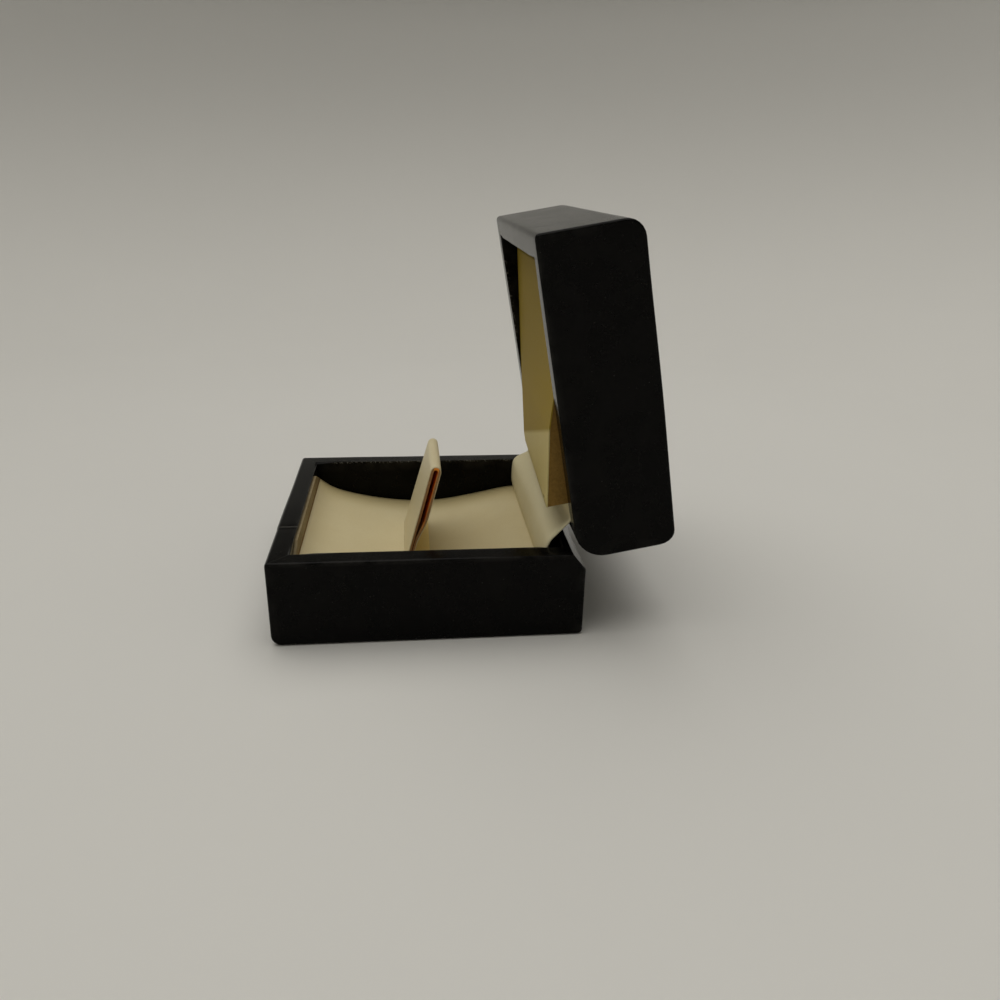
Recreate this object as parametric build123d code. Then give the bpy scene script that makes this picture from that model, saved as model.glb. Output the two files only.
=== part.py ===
"""A small hinged presentation box for a pair of cufflinks, standing open.

Millimetres. The origin is the middle of the base's underside, +Z is up, -Y is the front
and +Y the hinge side. The lid is drawn shut and then turned open about the hinge axis.
"""
import os
from math import atan2, cos, radians, sin

from build123d import *

# Box: outside sizes and the boards under the leatherette
box_width = 70.0
box_depth = 70.0
base_height = 20.3
lid_height = 21.6
wall_thickness = 4.8
wrap_thickness = 0.45
floor_thickness = 3.0
top_thickness = 3.0
underside_thickness = 0.5
underside_margin = 2.5
wrap_margin = 8.0
base_turn_in = 15.0
lid_turn_in = 15.0

# Rounded corners of the side outlines, and the slope that lets the lid lean back
side_edge_radius = 0.6
base_front_foot_radius = 2.3
base_back_foot_radius = 1.0
base_rim_radius = 0.8
slope_depth = 3.0
slope_height = 3.7
slope_radius = 0.5
lid_front_top_radius = 5.0
lid_back_top_radius = 3.0
lid_back_rim_radius = 6.5
lid_front_rim_radius = 1.0

# Hinge
open_angle = 79.64
rim_gap = 0.25
hinge_inset = 1.95
hinge_rise = 0.45
hinge_length = 34.0
leaf_thickness = 0.4
leaf_leg = 7.5
leaf_clearance = 0.2
knuckle_radius = 0.9
knuckle_gap = 0.2
pin_radius = 0.45
pin_clearance = 0.05
pin_end = 0.3
spring_length = 10.0
spring_radius = 0.85
spring_wire = 0.3
tack_head_radius = 1.2
tack_head_height = 0.4
tack_shank_radius = 0.5
tack_bite = 3.0
tack_spacing = 11.0
tack_drop = 4.2
tack_clearance = 0.02

# Card tray: its surface dips between the front fold and the back fold
card_thickness = 0.6
cover_thickness = 0.25
side_clearance = 0.2
tray_low = 8.2
tray_rise = [(0, 7.2), (0.06, 4.8), (0.145, 3.0), (0.297, 1.05), (0.453, 0.04),
             (0.61, 0.16), (0.768, 1.6), (0.927, 3.5), (1, 4.0)]
hinge_pocket = 3.3
flange_height = 4.1
flange_mitre = 8.9
pad_front_gap = 6.0
pad_back_gap = 6.0
pad_side_gap = 2.0

# Folded card fin across the tray
fin_lean = 15.8
fin_front = -5.6
fin_length = 26.2
fin_card = 0.55
fin_cover = 0.2
fin_gap = 1.1
fin_bond_length = 7.5
fin_spread_length = 12.5
fin_bend_radius = 8.0
fin_foot_half_width = 14.2
fin_top_half_width = 11.4
fin_clearance = 0.1
foot_length = 4.6
foot_thickness = 0.7
foot_taper = 1.2

# Soft strip over the hinge. Each side's line above the tray's back edge is a list of
# (distance back from that edge, share of the height from that edge up to the base's rim)
strip_thickness = 0.4
strip_tuck = 4.2
strip_left = [(-0.4, 0.27), (-0.6, 0.59), (-0.2, 0.86), (0.75, 1.09), (1.9, 1.22), (3.7, 1.31)]
strip_right = [(-0.4, 0.27), (-0.6, 0.59), (-0.35, 0.94), (0.5, 1.22), (2.3, 1.42), (5.2, 1.73)]

# Card panel in the lid: each side's line, as (share of its length, depth behind the rim)
liner_clearance = 0.3
liner_front_gap = 3.45
liner_left_gap = 3.2
liner_right_gap = 7.3
liner_left = [(0, -1.93), (0.02, -1.92), (0.045, -1.9), (0.484, 0.7), (1, 3.96)]
liner_right = [(0, -4.9), (0.11, -4.0), (0.35, -2.0), (0.52, 0.4), (1, 3.96)]
liner_flange_depth = 8.0

# Places worked out from the sizes above
half_width = box_width / 2
half_depth = box_depth / 2
inner_x = half_width - wall_thickness
inner_y = half_depth - wall_thickness
core_x = inner_x + wrap_thickness
core_y = inner_y + wrap_thickness
core_bottom = underside_thickness + wrap_thickness
floor_top = core_bottom + floor_thickness
base_fold = base_height - base_turn_in
lid_rim = base_height + rim_gap
lid_top = lid_rim + lid_height
lid_fold = lid_rim + lid_turn_in
panel_bottom = lid_top - wrap_thickness - top_thickness
hinge_y = half_depth - hinge_inset
hinge_z = base_height + hinge_rise
hinge_axis = Axis((0, hinge_y, hinge_z), (1, 0, 0))
leaf_edge = hinge_y - knuckle_radius - knuckle_gap
base_strap = (base_height - wrap_thickness, base_height - wrap_thickness + leaf_thickness)
lid_strap = (lid_rim + pin_clearance, lid_rim + pin_clearance + leaf_thickness)
base_tack_z = base_strap[1] - tack_drop
lid_tack_z = lid_strap[0] + tack_drop
tray_x = inner_x - side_clearance
tray_front = -inner_y + card_thickness
tray_back = inner_y - hinge_pocket
tray_fold_z = tray_low + tray_rise[0][1]
tray_back_z = tray_low + tray_rise[-1][1]
liner_x = inner_x - liner_clearance
beyond = 3 * max(box_width, box_depth)
everywhere = (-beyond, beyond)


def block(x_span, y_span, z_span):
    """A box given by its lowest and highest X, Y and Z."""
    centre = [(span[0] + span[1]) / 2 for span in (x_span, y_span, z_span)]
    lengths = [span[1] - span[0] for span in (x_span, y_span, z_span)]
    return Pos(*centre) * Box(*lengths)


def both(half):
    """The span of a size that lies evenly about the middle."""
    return (-half, half)


def side_face(points, radii):
    """A face seen from the side, from its (Y, Z) corners and a radius for each."""
    return make_face(Plane.YZ * FilletPolyline(*points, radius=radii, close=True))


def along_x(face, x_span):
    """The solid that a side face fills between two X places."""
    return Pos(x_span[0], 0, 0) * extrude(face, amount=x_span[1] - x_span[0], dir=(1, 0, 0))


def rod_x(radius, x_span, y, z):
    """A round rod along X."""
    middle = (x_span[0] + x_span[1]) / 2
    return Pos(middle, y, z) * Rot(0, 90, 0) * Cylinder(radius, x_span[1] - x_span[0])


def rod_y(radius, x, y_span, z):
    """A round rod along Y."""
    middle = (y_span[0] + y_span[1]) / 2
    return Pos(x, middle, z) * Rot(90, 0, 0) * Cylinder(radius, y_span[1] - y_span[0])


def opened(shape):
    """A piece of the lid, turned from shut to open."""
    return shape.rotate(hinge_axis, -open_angle)


def base_outline():
    """Side outline of the base, outside its leatherette."""
    points = [
        (-half_depth, underside_thickness),
        (half_depth, underside_thickness),
        (half_depth, base_height - slope_height),
        (half_depth - slope_depth, base_height),
        (-half_depth, base_height),
    ]
    radii = [base_front_foot_radius, base_back_foot_radius, slope_radius, slope_radius, base_rim_radius]
    return side_face(points, radii)


def lid_outline():
    """Side outline of the shut lid, outside its leatherette."""
    points = [
        (-half_depth, lid_rim),
        (half_depth, lid_rim),
        (half_depth, lid_top),
        (-half_depth, lid_top),
    ]
    radii = [lid_front_rim_radius, lid_back_rim_radius, lid_back_top_radius, lid_front_top_radius]
    return side_face(points, radii)


def wrapped(outline):
    """The whole block inside an outline, with its side edges rounded."""
    whole = along_x(outline, both(half_width))
    end_edges = [edge for edge in whole.edges() if abs(abs(edge.center().X) - half_width) < 1e-4]
    return fillet(end_edges, side_edge_radius)


def boards(outline):
    """The block of boards under the leatherette."""
    return along_x(offset(outline, -wrap_thickness), both(half_width - wrap_thickness))


def four_walls(core, z_span):
    """The front, back, left and right wall cut from a block of boards."""
    left = core & block((-beyond, -core_x), everywhere, z_span)
    right = core & block((core_x, beyond), everywhere, z_span)
    front = core & block(both(core_x), (-beyond, -core_y), z_span)
    back = core & block(both(core_x), (core_y, beyond), z_span)
    return front, back, left, right


def tack_places(z):
    """X and Z of the tacks of one hinge leaf."""
    return [(x, z) for x in (-tack_spacing, 0, tack_spacing)]


def tack_holes(z):
    """What the tacks of one leaf pass through."""
    holes = [
        rod_y(tack_shank_radius + tack_clearance, x, (0, inner_y + tack_bite), height)
        for x, height in tack_places(z)
    ]
    return Part() + holes


def tacks(z):
    """Three tacks that hold a leaf to the wall: a flat head and a round shank."""
    head_face = inner_y - leaf_thickness
    made = Part()
    for x, height in tack_places(z):
        made += rod_y(tack_head_radius, x, (head_face - tack_head_height, head_face), height)
        made += rod_y(tack_shank_radius, x, (head_face, inner_y + tack_bite), height)
    return made


def knuckle_spans(first, last):
    """X spans of a pair of knuckles, one on each side of the spring."""
    return [(first, last), (-last, -first)]


def leaf(strap, leg_span, spans):
    """One hinge leaf: a strap over the rim, a leg on the wall's inside and two knuckles."""
    strap_face = inner_y - leaf_thickness
    made = block(both(hinge_length / 2), (strap_face, leaf_edge), strap)
    made += block(both(hinge_length / 2), (strap_face, inner_y), leg_span)
    for span in spans:
        made += block(span, (strap_face, hinge_y), strap)
        made += rod_x(knuckle_radius, span, hinge_y, hinge_z)
    return made - rod_x(pin_radius + pin_clearance, everywhere, hinge_y, hinge_z)


def shifted(points, distance):
    """The points of an open line, each moved square to it, up for a positive distance."""
    moved = []
    for index, (y, z) in enumerate(points):
        before = points[max(index - 1, 0)]
        after = points[min(index + 1, len(points) - 1)]
        angle = atan2(after[1] - before[1], after[0] - before[0])
        moved.append((y - distance * sin(angle), z + distance * cos(angle)))
    return moved


def tray_line():
    """The tray's surface from the front fold to the back fold, as (Y, Z)."""
    length = tray_back - tray_front
    return [(tray_front + share * length, tray_low + rise) for share, rise in tray_rise]


def tray_layer(lower, upper):
    """A layer of the tray, between two distances from its surface."""
    top = Spline(*shifted(tray_line(), upper))
    bottom = Spline(*shifted(tray_line(), lower))
    ends = Line(top @ 0, bottom @ 0) + Line(top @ 1, bottom @ 1)
    layer = along_x(make_face(Plane.YZ * (top + bottom + ends)), both(tray_x))
    return layer & block(everywhere, (-inner_y, tray_back), everywhere)


def below_tray(distance):
    """Everything lower than a line that runs at a distance above the tray's surface."""
    top = Spline(*shifted(tray_line(), distance))
    start = top @ 0
    end = top @ 1
    rest = Polyline(start, (start.X, -beyond), (end.X, -beyond), end)
    return along_x(make_face(Plane.YZ * (top + rest)), everywhere)


def tray_flange():
    """The strip folded up against the front wall, with mitred ends."""
    bottom = tray_fold_z - card_thickness - cover_thickness
    top = tray_fold_z + flange_height
    outline = Polygon(
        (-tray_x, bottom), (tray_x, bottom), (tray_x, tray_fold_z), (tray_x - flange_mitre, top),
        (flange_mitre - tray_x, top), (-tray_x, tray_fold_z), align=None,
    )
    plate = extrude(Plane.XZ * outline, amount=beyond, both=True)
    return plate & block(everywhere, (-inner_y, tray_front), everywhere)


def fin_outline(inset):
    """Side face of the folded fin, inset from the outside of its cover."""
    leaf_depth = fin_card + fin_cover
    front = inset
    bonded = 2 * leaf_depth - inset
    spread = 2 * leaf_depth + fin_gap - inset
    top = fin_length - inset
    fold_radius = 0.499 * (spread - front)
    points = [
        (front, -tray_low), (front, top), (spread, top),
        (spread, fin_spread_length), (bonded, fin_bond_length), (bonded, -tray_low),
    ]
    radii = [0, fold_radius, fold_radius, fin_bend_radius, fin_bend_radius, 0]
    return make_face(fin_plane * FilletPolyline(*points, radius=radii, close=True))


def fin_hollow():
    """Side face of the dark gap between the fin's two leaves."""
    leaf_depth = fin_card + fin_cover
    top = fin_length - leaf_depth
    fold_radius = 0.499 * fin_gap
    points = [
        (leaf_depth, fin_bond_length), (leaf_depth, top),
        (leaf_depth + fin_gap, top), (leaf_depth + fin_gap, fin_spread_length),
    ]
    return make_face(fin_plane * FilletPolyline(*points, radius=[0, fold_radius, fold_radius, 0], close=True))


def fin_piece(face):
    """A piece of the fin: as wide as the fin at each height, and clear of the tray."""
    top = tray_low + fin_length * cos(radians(fin_lean))
    taper = Polygon(
        (-fin_foot_half_width, tray_low), (fin_foot_half_width, tray_low),
        (fin_top_half_width, top), (-fin_top_half_width, top), align=None,
    )
    width = extrude(Plane.XZ * taper, amount=beyond, both=True)
    return (along_x(face, everywhere) & width) - below_tray(fin_clearance)


def fin_crease():
    """Y and Z of the crease at the back of the fin's foot, about which it folds down."""
    depth = 2 * (fin_card + fin_cover)
    lean = radians(fin_lean)
    height = foot_thickness + fin_clearance
    up_leaf = (height + depth * sin(lean)) / cos(lean)
    return fin_front + depth * cos(lean) + up_leaf * sin(lean), tray_low + height


def fin_foot():
    """The flap of the fin that lies on the tray behind it."""
    front = fin_crease()[0] + fin_clearance
    back = front + foot_length
    outline = Polygon(
        (-fin_foot_half_width, front), (fin_foot_half_width, front),
        (fin_foot_half_width - foot_taper, back), (foot_taper - fin_foot_half_width, back), align=None,
    )
    plate = extrude(outline, amount=tray_low + foot_thickness, dir=(0, 0, 1))
    return plate - below_tray(0)


def strip_section(line, x):
    """One end face of the soft strip over the hinge."""
    rise = base_height - tray_back_z
    front = [(tray_back, tray_back_z - strip_tuck), (tray_back, tray_back_z)]
    front += [(tray_back + back, tray_back_z + share * rise) for back, share in line]
    behind = shifted(front, -strip_thickness)
    corners = [(x, y, z) for y, z in front + behind[::-1]]
    return make_face(Polyline(*corners, close=True))


def hinge_strip():
    """The soft strip, ruled from its left side to its right side."""
    return loft([strip_section(strip_left, -tray_x), strip_section(strip_right, tray_x)], ruled=True)


def liner_line(line, back_gap, lift):
    """One side of the shut lid's panel as (Y, Z), lifted off its visible face."""
    back = inner_y - back_gap
    length = back + inner_y - liner_front_gap
    return [(back - share * length, lid_rim + depth + lift) for share, depth in line]


def liner_layer(lower, upper):
    """A layer of the panel, ruled from its left side to its right side."""
    sections = []
    for line, back_gap, x in ((liner_left, liner_left_gap, -liner_x), (liner_right, liner_right_gap, liner_x)):
        near_face = liner_line(line, back_gap, lower)
        far_face = liner_line(line, back_gap, upper)
        corners = [(x, y, z) for y, z in near_face + far_face[::-1]]
        sections.append(make_face(Polyline(*corners, close=True)))
    return loft(sections, ruled=True)


def liner_flange(line, back_gap, x_span):
    """A side of the panel folded back into the lid."""
    edge = liner_line(line, back_gap, cover_thickness + card_thickness / 2)
    depth = lid_rim + liner_flange_depth
    outline = edge + [(edge[-1][0], depth), (edge[0][0], depth)]
    return along_x(make_face(Plane.YZ * Polyline(*outline, close=True)), x_span)


# Base: four walls and a floor board, the leatherette round them, a sheet under them
base_core = boards(base_outline())
base_front_wall, base_back_wall, base_left_wall, base_right_wall = four_walls(base_core, everywhere)
base_back_wall -= tack_holes(base_tack_z)
base_floor = block(both(core_x), both(core_y), (core_bottom, floor_top))
base_wrap = wrapped(base_outline()) - (base_core - block(both(core_x), both(core_y), (core_bottom, beyond)))
base_wrap -= block(both(inner_x), both(inner_y), (base_fold, beyond))
base_wrap -= block(both(core_x), both(core_y), (core_bottom, base_fold))
base_wrap -= block(both(half_width - wrap_margin), both(half_depth - wrap_margin), (0, core_bottom))
base_wrap -= block(both(hinge_length / 2 + leaf_clearance), (0, beyond), (base_strap[0], beyond))
base_wrap -= tack_holes(base_tack_z)
underside_sheet = block(
    both(half_width - underside_margin), both(half_depth - underside_margin), (0, underside_thickness)
)

# Tray: folded card with a cream cover, on a pad
tray_board = tray_layer(-cover_thickness - card_thickness, -cover_thickness) + tray_flange()
tray_board += block(both(tray_x), (tray_back - card_thickness, tray_back), (floor_top, tray_back_z - cover_thickness))
tray_cover = tray_layer(-cover_thickness, 0) - tray_board
tray_pad = block(
    both(tray_x - pad_side_gap), (pad_front_gap - inner_y, tray_back - pad_back_gap), (floor_top, base_height)
) & below_tray(-cover_thickness - card_thickness)

# Fin: a card folded over at the top, covered outside, with a foot on the tray
fin_plane = Plane(
    origin=(0, fin_front, tray_low),
    x_dir=(0, cos(radians(fin_lean)), -sin(radians(fin_lean))),
    z_dir=(1, 0, 0),
)
fin_board = fin_piece(fin_outline(fin_cover)) - along_x(fin_hollow(), everywhere)
fin_skin = fin_piece(fin_outline(0)) - along_x(fin_outline(fin_cover), everywhere)

# Lid: four walls and a top board, the leatherette round them
lid_core = boards(lid_outline())
lid_walls = four_walls(lid_core, (lid_rim - lid_height, panel_bottom))
lid_front_wall, lid_back_wall, lid_left_wall, lid_right_wall = lid_walls
lid_back_wall -= tack_holes(lid_tack_z)
lid_top_board = lid_core & block(everywhere, everywhere, (panel_bottom, beyond))
lid_wrap = wrapped(lid_outline()) - (lid_core - block(both(core_x), both(core_y), (0, panel_bottom)))
lid_wrap -= block(both(inner_x), both(inner_y), (0, lid_fold))
lid_wrap -= block(both(core_x), both(core_y), (lid_fold, panel_bottom))
lid_wrap -= block(both(hinge_length / 2 + leaf_clearance), (0, leaf_edge), (0, lid_strap[1] + pin_clearance))
lid_wrap -= tack_holes(lid_tack_z)

# Lid's panel: card with its sides folded back, and a cream cover
liner_board = liner_layer(cover_thickness, cover_thickness + card_thickness)
liner_board += liner_flange(liner_left, liner_left_gap, (-liner_x, card_thickness - liner_x))
liner_board += liner_flange(liner_right, liner_right_gap, (liner_x - card_thickness, liner_x))
liner_cover = liner_layer(0, cover_thickness)

# Hinge: two leaves on one pin, with a spring between the inner knuckles
knuckle_length = (hinge_length - spring_length) / 4
lid_knuckles = knuckle_spans(
    spring_length / 2 + knuckle_gap / 2, spring_length / 2 + knuckle_length - knuckle_gap / 2
)
base_knuckles = knuckle_spans(spring_length / 2 + knuckle_length + knuckle_gap / 2, hinge_length / 2)
base_leaf = leaf(base_strap, (base_strap[1] - leaf_leg, base_strap[1]), base_knuckles) - tack_holes(base_tack_z)
lid_leaf = leaf(lid_strap, (lid_strap[0], lid_strap[0] + leaf_leg), lid_knuckles) - tack_holes(lid_tack_z)
hinge_pin = rod_x(pin_radius, both(hinge_length / 2 + pin_end), hinge_y, hinge_z)
spring_x = spring_length / 2 - knuckle_gap
coil = rod_x(spring_radius, both(spring_x), hinge_y, hinge_z)
leg_x = spring_x - spring_wire
base_arm = rod_y(spring_wire / 2, -leg_x, (inner_y, hinge_y), base_strap[1] + spring_wire / 2)
lid_arm = rod_y(spring_wire / 2, leg_x, (inner_y, hinge_y), lid_strap[0] - spring_wire / 2)
hinge_spring = coil + base_arm + opened(lid_arm) - rod_x(pin_radius + pin_clearance, everywhere, hinge_y, hinge_z)

nodes = {
    "base_front_wall": base_front_wall,
    "base_back_wall": base_back_wall,
    "base_left_wall": base_left_wall,
    "base_right_wall": base_right_wall,
    "base_floor": base_floor,
    "base_wrap": base_wrap,
    "underside_sheet": underside_sheet,
    "tray_board": tray_board,
    "tray_cover": tray_cover,
    "tray_pad": tray_pad,
    "fin_foot": fin_foot(),
    "hinge_strip": hinge_strip(),
    "base_leaf": base_leaf,
    "base_leaf_tacks": tacks(base_tack_z),
    "hinge_pin": hinge_pin,
    "hinge_spring": hinge_spring,
    "fin_board": fin_board,
    "fin_skin": fin_skin,
    "lid_front_wall": opened(lid_front_wall),
    "lid_back_wall": opened(lid_back_wall),
    "lid_left_wall": opened(lid_left_wall),
    "lid_right_wall": opened(lid_right_wall),
    "lid_top_board": opened(lid_top_board),
    "lid_wrap": opened(lid_wrap),
    "liner_board": opened(liner_board),
    "liner_cover": opened(liner_cover),
    "lid_leaf": opened(lid_leaf),
    "lid_leaf_tacks": opened(tacks(lid_tack_z)),
}

os.makedirs("parts", exist_ok=True)
for name, shape in nodes.items():
    export_step(shape, f"parts/{name}.step")
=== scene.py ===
"""The looks of a small hinged presentation box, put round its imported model.

The file is laid out as an add-on: an operator for each piece or group of like pieces, one
for the stage, and a panel that lists them. Shapes are worked in millimetres, in the frame
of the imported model, and become metres when a piece is finished. The lid's pieces are
shaped with the lid shut and then turned open about the hinge.
"""
from math import cos, pi, radians, sin, tan

import bmesh
import bpy
from bpy.props import FloatProperty, FloatVectorProperty, PointerProperty
from mathutils import Matrix, Vector, noise


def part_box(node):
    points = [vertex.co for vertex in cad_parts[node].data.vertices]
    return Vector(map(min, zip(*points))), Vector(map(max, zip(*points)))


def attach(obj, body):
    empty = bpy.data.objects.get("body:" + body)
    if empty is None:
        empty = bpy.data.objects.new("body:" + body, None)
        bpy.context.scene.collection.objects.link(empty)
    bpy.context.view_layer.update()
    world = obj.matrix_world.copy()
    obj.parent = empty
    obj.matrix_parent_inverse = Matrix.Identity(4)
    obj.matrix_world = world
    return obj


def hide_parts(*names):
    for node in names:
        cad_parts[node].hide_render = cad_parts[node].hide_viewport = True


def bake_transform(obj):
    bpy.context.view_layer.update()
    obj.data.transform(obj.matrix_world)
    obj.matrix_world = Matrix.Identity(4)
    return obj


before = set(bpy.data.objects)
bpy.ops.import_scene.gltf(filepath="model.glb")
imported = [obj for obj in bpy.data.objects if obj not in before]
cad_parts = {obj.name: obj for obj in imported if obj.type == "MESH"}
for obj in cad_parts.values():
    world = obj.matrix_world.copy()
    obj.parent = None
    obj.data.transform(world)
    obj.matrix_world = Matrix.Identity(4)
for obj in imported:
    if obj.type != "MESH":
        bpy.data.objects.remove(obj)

bl_info = {
    "name": "Presentation Box",
    "version": (1, 0, 0),
    "blender": (4, 5, 0),
    "location": "3D View > Sidebar > Box",
    "description": "Builds the coverings, linings, spring and stage of a hinged presentation box",
    "category": "Object",
}

# Sizes in millimetres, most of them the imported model's too
mm = 0.001
half_width = 35.0
half_depth = 35.0
inner = 30.2
base_low = 0.1
base_high = 20.3
underside_half = 32.5
base_fold = 5.3
slope_depth = 3.0
slope_height = 3.7
lid_rim = 20.55
lid_high = 42.15
lid_fold = 35.55
lid_crown = 0.6
hinge_place = Vector((0, 33.05, 20.75))
open_angle = 79.64
leather_thickness = 0.44
tray_half = 30.0
tray_front = -29.6
tray_back = 26.9
tray_low = 8.2
tray_rise = [(0, 7.2), (0.06, 4.8), (0.145, 3.0), (0.297, 1.05), (0.453, 0.04),
             (0.61, 0.16), (0.768, 1.6), (0.927, 3.5), (1, 4.0)]
fin_lean = radians(15.8)
fin_front = -5.6
fin_height = 26.2
fin_foot_half = 14.2
fin_top_half = 11.4
fin_half_fold = 1.3
liner_half = 29.9
liner_crease = 19.9
liner_crease_slant = 0.318
strip_half = 29.9
recess_half = 17.3
recess_front = 29.5
base_recess = 19.82
lid_recess = 21.08
wear_and_glint_width = 0.9
smooth_angle = radians(40)

open_turn = (
    Matrix.Translation(hinge_place)
    @ Matrix.Rotation(-radians(open_angle), 4, "X")
    @ Matrix.Translation(-hinge_place)
)


class BoxSizes(bpy.types.PropertyGroup):
    """Sizes of the coverings that a user may want to change."""

    rim_softness: FloatProperty(
        name="Rim Softness", description="Radius of the rims' inner edges",
        default=0.55 * mm, min=0.1 * mm, max=1.5 * mm, unit="LENGTH", subtype="DISTANCE",
    )
    unevenness: FloatProperty(
        name="Unevenness", description="How far the leatherette swells and sinks over its boards",
        default=0.04 * mm, min=0.0, max=0.4 * mm, unit="LENGTH", subtype="DISTANCE",
    )
    seam_place: FloatProperty(
        name="Seam Place", description="Distance of the leatherette's overlap from the middle of the front",
        default=15.5 * mm, min=0.0, max=28 * mm, unit="LENGTH", subtype="DISTANCE",
    )
    seam_step: FloatProperty(
        name="Seam Step", description="How far the leatherette stands up at its overlap",
        default=0.12 * mm, min=0.0, max=0.5 * mm, unit="LENGTH", subtype="DISTANCE",
    )
    grain_size: FloatProperty(
        name="Grain Size", description="Width of one pebble of the leatherette's grain",
        default=0.42 * mm, min=0.1 * mm, max=2 * mm, unit="LENGTH", subtype="DISTANCE",
    )


class BoxColours(bpy.types.PropertyGroup):
    """Colours of the box's finishes."""

    leatherette: FloatVectorProperty(
        name="Leatherette", description="Colour of the black covering",
        default=(0.0016, 0.0015, 0.0013), min=0, max=1, subtype="COLOR",
    )
    cream: FloatVectorProperty(
        name="Cream", description="Colour of the cream linings",
        default=(0.69, 0.60, 0.37), min=0, max=1, subtype="COLOR",
    )
    # Painted shade: the colour of the lid panel's cream above its crease, where it lies in shade and warm
    # bounced light.
    shade_gold: FloatVectorProperty(
        name="Golden Cream", description="Colour of the upper part of the lid's lining",
        default=(0.36, 0.252, 0.034), min=0, max=1, subtype="COLOR",
    )
    card: FloatVectorProperty(
        name="Card", description="Colour of the bare card",
        default=(0.25, 0.145, 0.035), min=0, max=1, subtype="COLOR",
    )
    board: FloatVectorProperty(
        name="Board", description="Colour of the boards under the covering",
        default=(0.42, 0.27, 0.14), min=0, max=1, subtype="COLOR",
    )
    steel: FloatVectorProperty(
        name="Steel", description="Colour of the hinge",
        default=(0.55, 0.54, 0.52), min=0, max=1, subtype="COLOR",
    )
    floor: FloatVectorProperty(
        name="Floor", description="Colour of the floor and the backdrop",
        default=(0.80, 0.785, 0.74), min=0, max=1, subtype="COLOR",
    )


# Node helpers


def place(tree, kind, **settings):
    """A new node with its settings; a setting named after an input sets that input."""
    made = tree.nodes.new(kind)
    for name, value in settings.items():
        if hasattr(made, name):
            setattr(made, name, value)
        else:
            made.inputs[name.replace("_", " ")].default_value = value
    return made


def join(tree, source, target):
    """A link from an output socket to an input socket."""
    tree.links.new(source, target)


def texture(tree, kind, vector, **settings):
    """A texture node with its settings, fed with a vector."""
    made = place(tree, "ShaderNodeTex" + kind, **settings)
    join(tree, vector, made.inputs["Vector"])
    return made


def calculate(tree, operation, first, second=None, third=None):
    """A math node on numbers or sockets, and its output."""
    made = tree.nodes.new("ShaderNodeMath")
    made.operation = operation
    for index, value in enumerate((first, second, third)):
        if value is None:
            continue
        if isinstance(value, (int, float)):
            made.inputs[index].default_value = value
        else:
            join(tree, value, made.inputs[index])
    return made.outputs[0]


def blend_colours(tree, factor, first, second, kind="MIX"):
    """A colour mix of two colours or sockets, and its output."""
    made = tree.nodes.new("ShaderNodeMix")
    made.data_type = "RGBA"
    made.blend_type = kind
    for index, value in ((0, factor), (6, first), (7, second)):
        if isinstance(value, (int, float)):
            made.inputs[index].default_value = value
        elif isinstance(value, (tuple, list)):
            made.inputs[index].default_value = (*value[:3], 1)
        else:
            join(tree, value, made.inputs[index])
    return made.outputs[2]


def spread(tree, value, low, high, to_low=0.0, to_high=1.0):
    """A smooth map of a value from one range to another, and its output."""
    made = tree.nodes.new("ShaderNodeMapRange")
    made.interpolation_type = "SMOOTHSTEP"
    for index, number in enumerate((low, high, to_low, to_high), start=1):
        made.inputs[index].default_value = number
    join(tree, value, made.inputs[0])
    return made.outputs[0]


def new_group(name, inputs, outputs):
    """An empty shader group with its named sockets, and its input and output nodes."""
    tree = bpy.data.node_groups.new(name, "ShaderNodeTree")
    for label, kind, default in inputs:
        socket = tree.interface.new_socket(name=label, in_out="INPUT", socket_type="NodeSocket" + kind)
        if default is not None:
            socket.default_value = default
    for label, kind in outputs:
        tree.interface.new_socket(name=label, in_out="OUTPUT", socket_type="NodeSocket" + kind)
    return tree, tree.nodes.new("NodeGroupInput"), tree.nodes.new("NodeGroupOutput")


def pebble_group():
    """Leather grain: small pebbles with creases between them, and a slow mottle."""
    name = "Pebble Grain"
    if name in bpy.data.node_groups:
        return bpy.data.node_groups[name]
    tree, given, result = new_group(
        name,
        [
            ("Vector", "Vector", None), ("Pebbles Per Metre", "Float", 2400.0),
            ("Mottle Per Metre", "Float", 160.0),
        ],
        [("Height", "Float"), ("Mottle", "Float"), ("Crease", "Float")],
    )
    vector = given.outputs["Vector"]
    warp = texture(tree, "Noise", vector, Scale=900.0, Detail=2.0)
    bent = tree.nodes.new("ShaderNodeVectorMath")
    bent.operation = "MULTIPLY_ADD"
    join(tree, warp.outputs["Color"], bent.inputs[0])
    bent.inputs[1].default_value = (0.0003, 0.0003, 0.0003)
    join(tree, vector, bent.inputs[2])
    cells = texture(tree, "Voronoi", bent.outputs[0], feature="DISTANCE_TO_EDGE")
    join(tree, given.outputs["Pebbles Per Metre"], cells.inputs["Scale"])
    dome = spread(tree, cells.outputs["Distance"], 0.0, 0.22)
    fine = texture(tree, "Noise", vector, Scale=6000.0, Detail=3.0)
    height = calculate(tree, "MULTIPLY_ADD", fine.outputs["Fac"], 0.3, dome)
    slow = texture(tree, "Noise", vector, Detail=5.0, Roughness=0.6)
    join(tree, given.outputs["Mottle Per Metre"], slow.inputs["Scale"])
    crease = calculate(tree, "SUBTRACT", 1.0, dome)
    join(tree, height, result.inputs["Height"])
    join(tree, spread(tree, slow.outputs["Fac"], 0.35, 0.65), result.inputs["Mottle"])
    join(tree, crease, result.inputs["Crease"])
    return tree


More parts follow.
